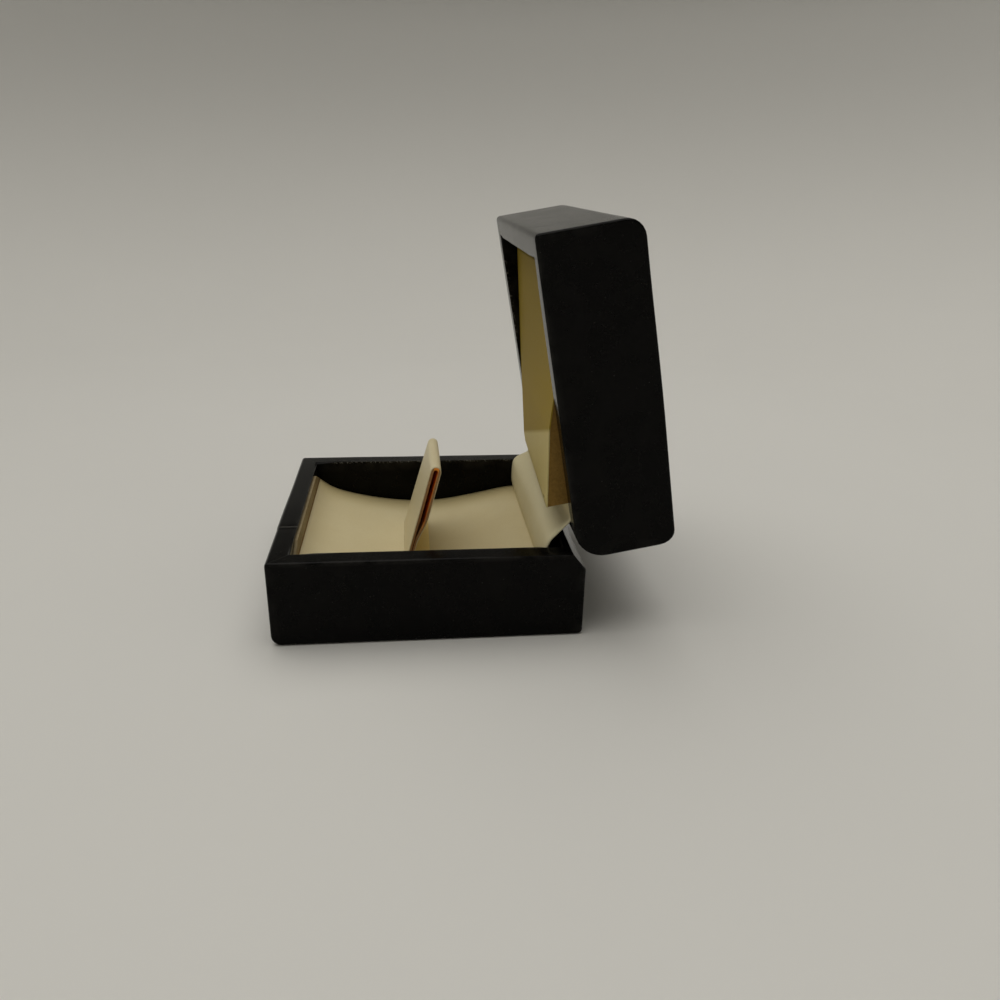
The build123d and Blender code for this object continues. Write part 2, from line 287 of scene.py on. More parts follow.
def fibre_group():
    """Pressed fibres: a base colour with darker and lighter flecks, and a fibrous height."""
    name = "Pressed Fibre"
    if name in bpy.data.node_groups:
        return bpy.data.node_groups[name]
    tree, given, result = new_group(
        name,
        [
            ("Vector", "Vector", None), ("Colour", "Color", (0.4, 0.3, 0.2, 1)),
            ("Fleck Colour", "Color", (0.2, 0.12, 0.06, 1)), ("Fleck Amount", "Float", 0.4),
            ("Flecks Per Metre", "Float", 1500.0),
        ],
        [("Colour", "Color"), ("Height", "Float")],
    )
    vector = given.outputs["Vector"]
    flecks = texture(tree, "Noise", vector, Detail=6.0, Roughness=0.7, Distortion=0.6)
    join(tree, given.outputs["Flecks Per Metre"], flecks.inputs["Scale"])
    slow = texture(tree, "Noise", vector, Scale=120.0, Detail=3.0)
    both = calculate(tree, "MULTIPLY_ADD", slow.outputs["Fac"], 0.5, flecks.outputs["Fac"])
    mask = calculate(tree, "MULTIPLY", spread(tree, both, 0.55, 0.95), given.outputs["Fleck Amount"])
    colour = blend_colours(tree, mask, given.outputs["Colour"], given.outputs["Fleck Colour"])
    join(tree, colour, result.inputs["Colour"])
    join(tree, flecks.outputs["Fac"], result.inputs["Height"])
    return tree


def dust_group():
    """Sparse small specks of dust and lint."""
    name = "Dust Specks"
    if name in bpy.data.node_groups:
        return bpy.data.node_groups[name]
    tree, given, result = new_group(
        name,
        [("Vector", "Vector", None), ("Amount", "Float", 0.3), ("Specks Per Metre", "Float", 900.0)],
        [("Mask", "Float")],
    )
    vector = given.outputs["Vector"]
    specks = texture(tree, "Voronoi", vector, Randomness=1.0)
    join(tree, given.outputs["Specks Per Metre"], specks.inputs["Scale"])
    small = spread(tree, specks.outputs["Distance"], 0.16, 0.08)
    lots = texture(tree, "Noise", vector, Scale=220.0, Detail=2.0)
    where = spread(tree, lots.outputs["Fac"], 0.56, 0.66)
    mask = calculate(tree, "MULTIPLY", calculate(tree, "MULTIPLY", small, where), given.outputs["Amount"])
    join(tree, mask, result.inputs["Mask"])
    return tree


def use_group(tree, group, vector, **values):
    """A group node fed with a vector, with its other inputs set."""
    made = tree.nodes.new("ShaderNodeGroup")
    made.node_tree = group
    join(tree, vector, made.inputs["Vector"])
    for name, value in values.items():
        made.inputs[name.replace("_", " ")].default_value = value
    return made


def new_material(name, roughness, metallic=0.0, specular=0.5):
    """A material with a Principled shader, and its tree, shader and object coordinates."""
    made = bpy.data.materials.new(name)
    made.use_nodes = True
    tree = made.node_tree
    shader = tree.nodes["Principled BSDF"]
    shader.inputs["Roughness"].default_value = roughness
    shader.inputs["Metallic"].default_value = metallic
    shader.inputs["Specular IOR Level"].default_value = specular
    here = tree.nodes.new("ShaderNodeTexCoord").outputs["Object"]
    return made, tree, shader, here


def shut_again(tree, vector):
    """Object coordinates of the lid, turned back to where they are with the lid shut."""
    back = open_turn.inverted()
    turned = place(tree, "ShaderNodeMapping", vector_type="POINT")
    turned.inputs["Rotation"].default_value = back.to_euler("XYZ")
    turned.inputs["Location"].default_value = back.to_translation() * mm
    join(tree, vector, turned.inputs["Vector"])
    return turned.outputs["Vector"]


def bump(tree, shader, height, distance, strength=1.0):
    """A bump of a height in metres, joined to the shader."""
    made = place(tree, "ShaderNodeBump", Strength=strength, Distance=distance)
    join(tree, height, made.inputs["Height"])
    join(tree, made.outputs["Normal"], shader.inputs["Normal"])


def lengths(tree, vector):
    """The X, Y and Z of a vector in millimetres, as sockets."""
    scaled = tree.nodes.new("ShaderNodeVectorMath")
    scaled.operation = "SCALE"
    scaled.inputs["Scale"].default_value = 1 / mm
    join(tree, vector, scaled.inputs[0])
    parts = tree.nodes.new("ShaderNodeSeparateXYZ")
    join(tree, scaled.outputs[0], parts.inputs[0])
    return parts.outputs[0], parts.outputs[1], parts.outputs[2]


def black_leatherette(name, colours, sizes, of_lid):
    """Black leatherette: fine pebbles, a slow mottle, worn edges with painted glints, a painted highlight
    along the base's seam, and mitred corner folds.
    """
    made, tree, shader, here = new_material(name, 0.25)
    shader.inputs["IOR"].default_value = 1.16
    if of_lid:
        here = shut_again(tree, here)
    grain = use_group(tree, pebble_group(), here, Pebbles_Per_Metre=1 / sizes.grain_size)
    dust = use_group(tree, dust_group(), here, Amount=0.12)
    worn_and_glinting = place(tree, "ShaderNodeAttribute", attribute_name="wear_and_glint")
    x, y, z = lengths(tree, here)
    from_mitre = calculate(
        tree, "ABSOLUTE",
        calculate(tree, "SUBTRACT", calculate(tree, "ABSOLUTE", x), calculate(tree, "ABSOLUTE", y)),
    )
    at_corner = calculate(tree, "GREATER_THAN", calculate(tree, "ABSOLUTE", x), inner)
    mitre = calculate(tree, "MULTIPLY", spread(tree, from_mitre, 0.3, 0.05), at_corner)

    base = tuple(colours.leatherette)
    # Partly real wear, partly painted highlight: the rub and chip colours lighten the edges and rim as
    # wear, and also stand for glints of the grain catching light there.
    rub_and_glint_colour, seam_highlight_colour = (0.035, 0.033, 0.029), (0.06, 0.057, 0.05)
    chip_and_glint_colour, dust_colour = (0.17, 0.165, 0.15), (0.16, 0.155, 0.14)
    mottled = blend_colours(tree, grain.outputs["Mottle"], base, tuple(1.9 * c for c in base))
    rubbed_and_glinting = calculate(tree, "MULTIPLY", worn_and_glinting.outputs["Fac"], grain.outputs["Mottle"])
    edged = blend_colours(tree, calculate(tree, "MULTIPLY", rubbed_and_glinting, 0.5), mottled, rub_and_glint_colour)
    # Painted highlight: a lighter line across the front rim where the leatherette's overlap steps up and
    # catches light.
    if not of_lid:
        seam = calculate(tree, "ABSOLUTE", calculate(tree, "SUBTRACT", x, sizes.seam_place / mm))
        at_front = calculate(tree, "LESS_THAN", y, tray_front)
        on_rim = calculate(tree, "MULTIPLY", spread(tree, z, 19.0, 20.0, 0.12, 0.8), at_front)
        seam_highlight = calculate(tree, "MULTIPLY", spread(tree, seam, 0.34, 0.08), on_rim)
        edged = blend_colours(tree, seam_highlight, edged, seam_highlight_colour)
    chips = texture(tree, "Noise", here, Scale=2100.0, Detail=2.0)
    chipped_and_glinting = calculate(
        tree, "MULTIPLY", spread(tree, chips.outputs["Fac"], 0.54, 0.64),
        spread(tree, worn_and_glinting.outputs["Fac"], 0.78, 0.97, 0.0, 0.8),
    )
    flecked = blend_colours(tree, chipped_and_glinting, edged, chip_and_glint_colour)
    dusty = blend_colours(tree, dust.outputs["Mask"], flecked, dust_colour)
    join(tree, dusty, shader.inputs["Base Color"])
    join(tree, spread(tree, grain.outputs["Mottle"], 0.0, 1.0, 0.15, 0.17), shader.inputs["Roughness"])
    height = calculate(tree, "MULTIPLY_ADD", mitre, -2.5, grain.outputs["Height"])
    bump(tree, shader, height, 0.012 * mm, 0.5)
    return made


def cream_lining(name, colour, sizes):
    """Cream leatherette paper: a very fine grain, faint mottling and a soft sheen."""
    made, tree, shader, here = new_material(name, 0.6, specular=0.07)
    grain = use_group(
        tree, pebble_group(), here, Pebbles_Per_Metre=1 / (0.8 * sizes.grain_size), Mottle_Per_Metre=90.0
    )
    shaded = blend_colours(
        tree, calculate(tree, "MULTIPLY", grain.outputs["Mottle"], 0.35),
        tuple(colour), (colour[0] * 0.93, colour[1] * 0.90, colour[2] * 0.84),
    )
    creased = blend_colours(
        tree, calculate(tree, "MULTIPLY", grain.outputs["Crease"], 0.10), shaded,
        (colour[0] * 0.6, colour[1] * 0.52, colour[2] * 0.4),
    )
    join(tree, creased, shader.inputs["Base Color"])
    bump(tree, shader, grain.outputs["Height"], 0.02 * mm, 0.6)
    return made, tree, shader, here, creased


def liner_lining(name, colours, sizes):
    """The lid panel's lining: above its crease a golden colour painted for shade and warm bounced light,
    below it a darker copy of the cream painted for shade, and a dark spot painted for the shade in a small
    gap.
    """
    # Both colours are painted shade: a darker copy of the cream for the panel's lower part, and near black
    # for a small gap that lies in shade.
    shaded_cream, gap_shade_colour = (0.67, 0.565, 0.25), (0.03, 0.018, 0.004)
    slot_x, slot_y, slot_flatness = 24.2, 22.5, 0.4
    made, tree, shader, here, creased = cream_lining(name, shaded_cream, sizes)
    x, y = lengths(tree, shut_again(tree, here))[:2]
    along = calculate(tree, "SUBTRACT", half_depth, y)
    crease_at = calculate(tree, "MULTIPLY_ADD", x, liner_crease_slant, liner_crease)
    beyond = calculate(tree, "SUBTRACT", along, crease_at)
    # Painted shade: above the crease the panel is the same cream in shade, lit only by warm light bounced
    # from the tray, so it is painted golden, and darker further from the crease.
    shade_gold = tuple(colours.shade_gold)
    far_shade_gold = tuple(0.78 * c for c in shade_gold)
    warm_shaded = blend_colours(tree, spread(tree, beyond, 4.0, 34.0), shade_gold, far_shade_gold)
    toned = blend_colours(tree, spread(tree, beyond, -0.5, 0.9), creased, warm_shaded)
    across = calculate(tree, "MULTIPLY", calculate(tree, "SUBTRACT", x, slot_x), slot_flatness)
    inward = calculate(tree, "SUBTRACT", y, slot_y)
    from_slot = calculate(
        tree, "SQRT",
        calculate(tree, "MULTIPLY_ADD", across, across, calculate(tree, "MULTIPLY", inward, inward)),
    )
    # Painted shade: a dark spot where a small gap lies in shade; the panel has no hole here.
    slotted = blend_colours(tree, spread(tree, from_slot, 0.42, 0.22), toned, gap_shade_colour)
    join(tree, slotted, shader.inputs["Base Color"])
    return made


def bare_card(name, colour, fleck, amount=0.55):
    """Bare card: pressed fibres with brown flecks."""
    made, tree, shader, here = new_material(name, 0.82, specular=0.08)
    fibre = use_group(
        tree, fibre_group(), here, Colour=(*colour, 1), Fleck_Colour=(*fleck, 1), Fleck_Amount=amount
    )
    join(tree, fibre.outputs["Colour"], shader.inputs["Base Color"])
    bump(tree, shader, fibre.outputs["Height"], 0.05 * mm, 0.6)
    return made, tree, shader, here, fibre.outputs["Colour"]


def tray_card(name):
    """The tray's card: a brown line of painted crease shade along the front fold, and tan above and below
    it.
    """
    tan_colour, fleck_colour, crease_shade_colour = (0.34, 0.275, 0.16), (0.17, 0.115, 0.05), (0.16, 0.075, 0.02)
    fold_height = 16.0
    made, tree, shader, here, plain = bare_card(name, tan_colour, fleck_colour, 0.6)
    y, z = lengths(tree, here)[1:]
    # Painted shade: a brown line where the front fold lies in shade.
    from_fold = calculate(tree, "ABSOLUTE", calculate(tree, "SUBTRACT", z, fold_height))
    fold = spread(tree, from_fold, 0.42, 0.14)
    at_front = calculate(tree, "LESS_THAN", y, tray_front + 0.4)
    line = calculate(tree, "MULTIPLY", calculate(tree, "MULTIPLY", fold, at_front), 0.8)
    join(tree, blend_colours(tree, line, plain, crease_shade_colour), shader.inputs["Base Color"])
    return made


def fin_card(name):
    """The fin's card: brown at its cut edges and red-brown inside the fold, painted much brighter there to
    stand for light reaching into the fold.
    """
    brown, fleck_colour = (0.42, 0.235, 0.10), (0.16, 0.06, 0.02)
    # Partly real, partly painted light: the card is red-brown inside the fold, and its colour there is made
    # far brighter to stand for light that reaches in.
    lit_inside_colour, glue_colour = (0.95, 0.33, 0.05), (0.07, 0.02, 0.005)
    glued_to, open_from = 9.0, 14.0
    made, tree, shader, here, plain = bare_card(name, brown, fleck_colour)
    y, z = lengths(tree, here)[1:]
    back = calculate(tree, "SUBTRACT", y, fin_front)
    up = calculate(tree, "SUBTRACT", z, tray_low)
    depth = calculate(
        tree, "MULTIPLY_ADD", up, -sin(fin_lean), calculate(tree, "MULTIPLY", back, cos(fin_lean))
    )
    height = calculate(
        tree, "MULTIPLY_ADD", up, cos(fin_lean), calculate(tree, "MULTIPLY", back, sin(fin_lean))
    )
    from_middle = calculate(tree, "ABSOLUTE", calculate(tree, "SUBTRACT", depth, fin_half_fold))
    inside = calculate(
        tree, "MULTIPLY", spread(tree, from_middle, 0.62, 0.56), spread(tree, height, glued_to, open_from)
    )
    folded = blend_colours(tree, inside, plain, lit_inside_colour)
    from_glue = calculate(tree, "ABSOLUTE", calculate(tree, "SUBTRACT", depth, 0.75))
    glued = calculate(
        tree, "MULTIPLY", spread(tree, from_glue, 0.2, 0.05), spread(tree, height, open_from, glued_to)
    )
    join(tree, blend_colours(tree, glued, folded, glue_colour), shader.inputs["Base Color"])
    return made


def pressed_board(name, colours):
    """Pressed wood fibre board."""
    colour = tuple(colours.board)
    return bare_card(name, colour, tuple(0.45 * c for c in colour), 0.5)[0]


def hinge_steel(name, colours):
    """Plated steel strip with fine drawn lines along the hinge."""
    made, tree, shader, here = new_material(name, 0.34, metallic=1.0)
    stretched = place(tree, "ShaderNodeMapping", vector_type="POINT")
    stretched.inputs["Scale"].default_value = (60, 2600, 2600)
    join(tree, here, stretched.inputs["Vector"])
    drawn = texture(tree, "Noise", stretched.outputs["Vector"], Scale=1.0, Detail=4.0, Roughness=0.65)
    stain = texture(tree, "Noise", here, Scale=420.0, Detail=3.0)
    colour = tuple(colours.steel)
    stain_colour = (0.2, 0.17, 0.13)
    lined = blend_colours(tree, drawn.outputs["Fac"], colour, tuple(0.72 * c for c in colour))
    stained_by = spread(tree, stain.outputs["Fac"], 0.55, 0.75, 0.0, 0.4)
    join(tree, blend_colours(tree, stained_by, lined, stain_colour), shader.inputs["Base Color"])
    join(tree, spread(tree, drawn.outputs["Fac"], 0.2, 0.8, 0.24, 0.46), shader.inputs["Roughness"])
    bump(tree, shader, drawn.outputs["Fac"], 0.01 * mm, 0.5)
    return made


def pad_foam(name):
    """Pale foam with small open cells."""
    hollow_colour, wall_colour = (0.5, 0.47, 0.38), (0.82, 0.79, 0.7)
    made, tree, shader, here = new_material(name, 0.95, specular=0.2)
    cells = texture(tree, "Voronoi", here, Scale=1500.0)
    in_wall = spread(tree, cells.outputs["Distance"], 0.1, 0.6)
    join(tree, blend_colours(tree, in_wall, hollow_colour, wall_colour), shader.inputs["Base Color"])
    bump(tree, shader, cells.outputs["Distance"], 0.25 * mm, 0.7)
    return made


def underside_paper(name):
    """Black flocked paper with a short nap."""
    made, tree, shader, here = new_material(name, 0.95, specular=0.15)
    nap = texture(tree, "Noise", here, Scale=4200.0, Detail=4.0, Roughness=0.7)
    dust = use_group(tree, dust_group(), here, Amount=0.5)
    deep_colour, tip_colour, dust_colour = (0.008, 0.008, 0.008), (0.03, 0.029, 0.027), (0.2, 0.19, 0.17)
    napped = blend_colours(tree, nap.outputs["Fac"], deep_colour, tip_colour)
    dusty = blend_colours(tree, dust.outputs["Mask"], napped, dust_colour)
    join(tree, dusty, shader.inputs["Base Color"])
    bump(tree, shader, nap.outputs["Fac"], 0.12 * mm, 0.8)
    return made


# Mesh helpers


def eased(share):
    """A share that starts and ends softly."""
    share = min(max(share, 0.0), 1.0)
    return share * share * (3 - 2 * share)


def run_at(points, share):
    """The index of the run of (share, height) points that holds a share."""
    last = len(points) - 1
    return next((i for i in range(last) if share <= points[i + 1][0]), last - 1)


def through(points, share):
    """The height of a smooth line through (share, height) points."""
    last = len(points) - 1
    index = run_at(points, share)
    (x0, y0), (x1, y1) = points[index], points[index + 1]

    def slope(i):
        before, after = points[max(i - 1, 0)], points[min(i + 1, last)]
        return (after[1] - before[1]) / (after[0] - before[0])

    span = x1 - x0
    t = (share - x0) / span
    return (
        (2 * t ** 3 - 3 * t ** 2 + 1) * y0 + (t ** 3 - 2 * t ** 2 + t) * span * slope(index)
        + (3 * t ** 2 - 2 * t ** 3) * y1 + (t ** 3 - t ** 2) * span * slope(index + 1)
    )


def straight(points, share):
    """The height of straight runs through (share, height) points."""
    index = run_at(points, share)
    (x0, y0), (x1, y1) = points[index], points[index + 1]
    return y0 + (y1 - y0) * (share - x0) / (x1 - x0)


def along_line(points, share):
    """The point at a share of the way along a line of (Y, Z) points, smoothed through them."""
    reach = [0.0]
    for (y0, z0), (y1, z1) in zip(points, points[1:]):
        reach.append(reach[-1] + Vector((y1 - y0, z1 - z0)).length)
    ys = [(r / reach[-1], y) for r, (y, z) in zip(reach, points)]
    zs = [(r / reach[-1], z) for r, (y, z) in zip(reach, points)]
    return through(ys, share), through(zs, share)


def finish_piece(name, bm, material, body, replaced=(), turn=None):
    """Turns a mesh worked in millimetres into a piece that rides on a body."""
    if turn is not None:
        bmesh.ops.transform(bm, matrix=turn, verts=bm.verts)
    bmesh.ops.scale(bm, vec=(mm, mm, mm), verts=bm.verts)
    mesh = bpy.data.meshes.new(name)
    bm.to_mesh(mesh)
    bm.free()
    mesh.shade_smooth()
    mesh.set_sharp_from_angle(angle=smooth_angle)
    piece = bpy.data.objects.new(name, mesh)
    bpy.context.scene.collection.objects.link(piece)
    mesh.materials.append(material)
    if replaced:
        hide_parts(*replaced)
    if body is not None:
        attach(piece, body)
    return piece


def thicken(piece, thickness, offset=-1.0):
    """Gives a sheet its thickness."""
    solid = piece.modifiers.new("Thickness", "SOLIDIFY")
    solid.thickness = thickness * mm
    solid.offset = offset
    solid.use_even_offset = True
    solid.thickness_clamp = 1.0


def even_normals(piece):
    """Keeps flat faces flat beside their rounded edges."""
    weighted = piece.modifiers.new("Flat faces", "WEIGHTED_NORMAL")
    weighted.keep_sharp = True


def both_sides(*places):
    """Places and their mirror images."""
    return [sign * place_at for sign in (-1, 1) for place_at in places]


def cut_across(bm, axis, places):
    """Cuts the mesh by planes square to an axis, in the order of their places."""
    normal = Vector([float(i == axis) for i in range(3)])
    for place_at in sorted(places):
        geometry = bm.verts[:] + bm.edges[:] + bm.faces[:]
        bmesh.ops.bisect_plane(bm, geom=geometry, dist=1e-4, plane_co=normal * place_at, plane_no=normal)


def round_off(bm, geometry, offset, segments, affect="EDGES"):
    """Rounds edges, or corner points."""
    bmesh.ops.bevel(
        bm, geom=geometry, offset=offset, offset_type="OFFSET", segments=segments, profile=0.5,
        affect=affect, material=-1,
    )


def rounded_block(corners, radii, side_radius):
    """A closed block from its side outline, with every edge rounded."""
    bm = bmesh.new()
    verts = [bm.verts.new((-half_width, y, z)) for y, z in corners]
    bm.faces.new(verts)
    count = len(corners)
    for index, (vert, radius) in enumerate(zip(verts, radii)):
        before = Vector(corners[index - 1]) - Vector(corners[index])
        after = Vector(corners[(index + 1) % count]) - Vector(corners[index])
        setback = radius * tan((pi - before.angle(after)) / 2)
        round_off(bm, [vert], setback, round(radius) + 2, "VERTICES")
    grown = bmesh.ops.extrude_face_region(bm, geom=bm.faces[:])["geom"]
    moved = [item for item in grown if isinstance(item, bmesh.types.BMVert)]
    bmesh.ops.translate(bm, vec=(2 * half_width, 0, 0), verts=moved)
    ends = [edge for edge in bm.edges if abs(edge.verts[0].co.x - edge.verts[1].co.x) < 1e-4]
    round_off(bm, ends, side_radius, 4)
    bmesh.ops.recalc_face_normals(bm, faces=bm.faces)
    return bm


def open_rim(bm, inside, turned_in):
    """Opens a block inside its rim and turns the leatherette in, down to a height."""
    gone = [face for face in bm.faces if inside(face)]
    bmesh.ops.delete(bm, geom=gone, context="FACES")
    rim = [edge for edge in bm.edges if edge.is_boundary]
    rim = [edge for edge in rim if all(max(abs(v.co.x), abs(v.co.y)) < inner + 0.01 for v in edge.verts)]
    grown = bmesh.ops.extrude_edge_only(bm, edges=rim)["geom"]
    for vert in (item for item in grown if isinstance(item, bmesh.types.BMVert)):
        vert.co.z = turned_in
    return [edge for edge in rim if edge.is_valid]


def wear_and_glint_at(point, rim_z):
    """How worn a point of a covering is, and how much painted glint it takes, from 0 to 1: most along the
    rim and the block's edges.
    """
    x, y, from_rim = abs(point.x), abs(point.y), abs(rim_z - point.z)
    from_sides = sorted((abs(half_width - x), abs(half_depth - y), from_rim))
    on_edge = 1 - min(from_sides[1] / wear_and_glint_width, 1)
    from_walls = [half_width]
    if y < inner:
        from_walls.append(abs(x - inner))
    if x < inner:
        from_walls.append(abs(y - inner))
    on_rim = 1 - min(max(min(from_walls), from_rim) / wear_and_glint_width, 1)
    return max(on_edge, on_rim)


def mark_wear_and_glint(bm, rim_z):
    """Stores how worn each point of a covering is, and how much painted glint it takes."""
    layer = bm.verts.layers.float.new("wear_and_glint")
    for vert in bm.verts:
        vert[layer] = wear_and_glint_at(vert.co, rim_z)


def tidy_mesh(bm):
    """Merges points that fell together and drops faces with no area."""
    bmesh.ops.remove_doubles(bm, verts=bm.verts, dist=0.03)
    bmesh.ops.dissolve_degenerate(bm, edges=bm.edges, dist=0.02)


def swell(bm, amount, share_at=lambda point: 1.0):
    """Moves the surface in and out a little, slowly over the piece."""
    bm.normal_update()
    waves_per_mm = 0.07
    shifts = [
        vert.normal * amount * share_at(vert.co) * noise.noise(vert.co * waves_per_mm) for vert in bm.verts
    ]
    for vert, shift in zip(bm.verts, shifts):
        vert.co += shift


def sheet_grid(across, down, shape):
    """A sheet from a grid, each point put in place by a function of its two shares."""
    bm = bmesh.new()
    bmesh.ops.create_grid(bm, x_segments=across, y_segments=down, size=1.0)
    for vert in bm.verts:
        vert.co = shape((vert.co.x + 1) / 2, (vert.co.y + 1) / 2)
    return bm


def rod(bm, start, end, radius, segments=12):
    """A round rod between two points."""
    start, end = Vector(start), Vector(end)
    along = end - start
    turn = along.to_track_quat("Z", "Y").to_matrix().to_4x4()
    bmesh.ops.create_cone(
        bm, cap_ends=True, segments=segments, radius1=radius, radius2=radius, depth=along.length,
        matrix=Matrix.Translation((start + end) / 2) @ turn,
    )


def give(material, *names):
    """Puts a material on CAD nodes, in their own slots."""
    for name in names:
        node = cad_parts[name]
        for slot in node.material_slots:
            slot.material = material


# Places of the coverings' cuts along X or Y
even_cuts = range(-25, 26, 5)
rim_cuts = sorted(both_sides(inner, inner + 1))
recess_cuts = both_sides(recess_half - 0.1, recess_half + 0.1)


class BOX_OT_base_leatherette(bpy.types.Operator):
    """Covers the base's boards with black leatherette, turned in over the rim."""

    bl_idname = "box.base_leatherette"
    bl_label = "Base Leatherette"

    def execute(self, context):
        sizes = context.scene.box_sizes
        corners = [
            (-half_depth, base_low), (half_depth, base_low), (half_depth, base_high - slope_height),
            (half_depth - slope_depth, base_high), (-half_depth, base_high),
        ]
        radii, side_radius = [2.3, 1.0, 0.7, 0.7, 0.8], 0.55
        bm = rounded_block(corners, radii, side_radius)
        seam = sizes.seam_place / mm
        seam_cuts = [seam - 0.25, seam + 0.25]
        cut_across(bm, 0, [-26, -21, -11, -6, -1, 4, 9, 13, 21, 25, *seam_cuts, *rim_cuts, *recess_cuts])
        cut_across(bm, 1, [*even_cuts, *rim_cuts])
        cut_across(bm, 2, [3.5, 7, 10.5, 14, 17.5, 19.2])
        fold_under = underside_half + 0.05
        for axis in (0, 1):
            cut_across(bm, axis, both_sides(fold_under))

        def inside(face):
            middle = face.calc_center_median()
            return max(abs(middle.x), abs(middle.y)) < inner and middle.z > base_high - 1

        rim = open_rim(bm, inside, base_fold)
        round_off(bm, rim, sizes.rim_softness / mm, 4)
        cut_across(bm, 2, [9, 13, 17])
        under = [
            face for face in bm.faces
            if face.normal.z < -0.9 and max(abs(c) for c in face.calc_center_median().xy) < fold_under
        ]
        bmesh.ops.delete(bm, geom=under, context="FACES")
        bmesh.ops.recalc_face_normals(bm, faces=bm.faces)
        swell(bm, sizes.unevenness / mm, lambda point: eased((point.z - 1.0) / 4))
        overlap = sizes.seam_step / mm
        fade_left, fade_run, fade_height = -12, 24, 4
        for vert in bm.verts:
            x, y, z = vert.co
            if y < tray_front and x < seam:
                across = eased((x - fade_left) / fade_run)
                vert.co += vert.normal * overlap * across * eased(z / fade_height)
        for vert in bm.verts:
            if abs(vert.co.x) < recess_half and vert.co.y > recess_front:
                vert.co.z = min(vert.co.z, base_recess)
        tidy_mesh(bm)
        mark_wear_and_glint(bm, base_high)
        leather = black_leatherette("Base leatherette", context.scene.box_colours, sizes, False)
        piece = finish_piece("base_leatherette", bm, leather, "base", ["base_wrap"])
        thicken(piece, leather_thickness)
        even_normals(piece)
        return {"FINISHED"}


class BOX_OT_lid_leatherette(bpy.types.Operator):
    """Covers the lid's boards with black leatherette, turned in over the rim."""

    bl_idname = "box.lid_leatherette"
    bl_label = "Lid Leatherette"

    def execute(self, context):
        sizes = context.scene.box_sizes
        corners = [
            (-half_depth, lid_rim), (half_depth, lid_rim), (half_depth, lid_high), (-half_depth, lid_high),
        ]
        radii, side_radius = [1.0, 6.5, 3.0, 4.0], 0.6
        bm = rounded_block(corners, radii, side_radius)
        cut_across(bm, 0, [0, *both_sides(5, 10, 21, 25), *rim_cuts, *recess_cuts])
        cut_across(bm, 1, [-33, *even_cuts, *rim_cuts[1:]])
        cut_across(bm, 2, [22.2, 24, 28, 32, 35, 37.4])

        def inside(face):
            middle = face.calc_center_median()
            return max(abs(middle.x), abs(middle.y)) < inner and middle.z < lid_rim + 1.5

        rim = open_rim(bm, inside, lid_fold)
        round_off(bm, rim, sizes.rim_softness / mm, 4)
        cut_across(bm, 2, [25, 30])
        bmesh.ops.recalc_face_normals(bm, faces=bm.faces)
        swell(bm, sizes.unevenness / mm)
        crown_depth, crown_front, crown_run = 3, -33, 40
        for vert in bm.verts:
            near_top = max(vert.co.z - lid_high + crown_depth, 0) / crown_depth
            vert.co.z += lid_crown * near_top * eased((vert.co.y - crown_front) / crown_run)
            if abs(vert.co.x) < recess_half and vert.co.y > recess_front:
                vert.co.z = max(vert.co.z, lid_recess)
        tidy_mesh(bm)
        mark_wear_and_glint(bm, lid_rim)
        leather = black_leatherette("Lid leatherette", context.scene.box_colours, sizes, True)
        piece = finish_piece(
            "lid_leatherette", bm, leather, "lid", ["lid_wrap"], turn=open_turn
        )
        thicken(piece, leather_thickness)
        even_normals(piece)
        return {"FINISHED"}


def tray_height(y):
    """The height of the tray's surface at a place along Y."""
    return tray_low + through(tray_rise, (y - tray_front) / (tray_back - tray_front))


class BOX_OT_tray(bpy.types.Operator):
    """Lines the tray's card with cream, and puts the foam under it."""

    bl_idname = "box.tray"
    bl_label = "Tray Lining and Foam"

    def execute(self, context):
        scene = context.scene
        colours, sizes = scene.box_colours, scene.box_sizes
        sunk, ripple_height, ripples_per_mm = 0.02, 0.05, 0.09

        def lining(across, down):
            x = (2 * across - 1) * tray_half
            y = tray_front + down * (tray_back - tray_front)
            ripple = ripple_height * noise.noise(Vector((x, y, 0)) * ripples_per_mm)
            return Vector((x, y, tray_height(y) - sunk + ripple))

        # Painted shade: the cream darkens towards both sides, where the side walls keep light from the
        # tray.
        wall_shade_colour = (0.42, 0.33, 0.13)
        cream, tree, shader, here, creased = cream_lining("Tray lining", colours.cream, sizes)
        from_middle = calculate(tree, "ABSOLUTE", lengths(tree, here)[0])
        wall_shaded = spread(tree, from_middle, 17.0, 30.5, 0.0, 0.6)
        join(tree, blend_colours(tree, wall_shaded, creased, wall_shade_colour), shader.inputs["Base Color"])
        piece = finish_piece(
            "tray_lining", sheet_grid(48, 72, lining), cream, "base", ["tray_cover"]
        )
        thicken(piece, 0.2)

        low, high = (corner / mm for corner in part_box("tray_pad"))
        bm = bmesh.new()
        bmesh.ops.create_cube(bm, size=1.0)
        for vert in bm.verts:
            vert.co = [low[i] if vert.co[i] < 0 else high[i] for i in range(3)]
        cut_across(bm, 0, range(-24, 25, 12))
        cut_across(bm, 1, range(-22, 19, 4))
        under_card = 0.95
        for vert in bm.verts:
            if vert.co.z > low[2] + 0.5:
                vert.co.z = tray_height(vert.co.y) - under_card
        hard = [edge for edge in bm.edges if edge.calc_face_angle(0) > 1.0]
        round_off(bm, hard, 0.5, 3)
        bmesh.ops.recalc_face_normals(bm, faces=bm.faces)
        foam = finish_piece("tray_foam", bm, pad_foam("Pad foam"), "base", ["tray_pad"])
        return {"FINISHED"}


def fin_place(across, depth, height):
    """A point of the fin from its share across, its depth behind the front leaf and its height up it."""
    y = fin_front + depth * cos(fin_lean) + height * sin(fin_lean)
    z = tray_low - depth * sin(fin_lean) + height * cos(fin_lean)
    half = fin_foot_half + (fin_top_half - fin_foot_half) * min(max(height / fin_height, 0), 1)
    return Vector(((2 * across - 1) * half, y, z))


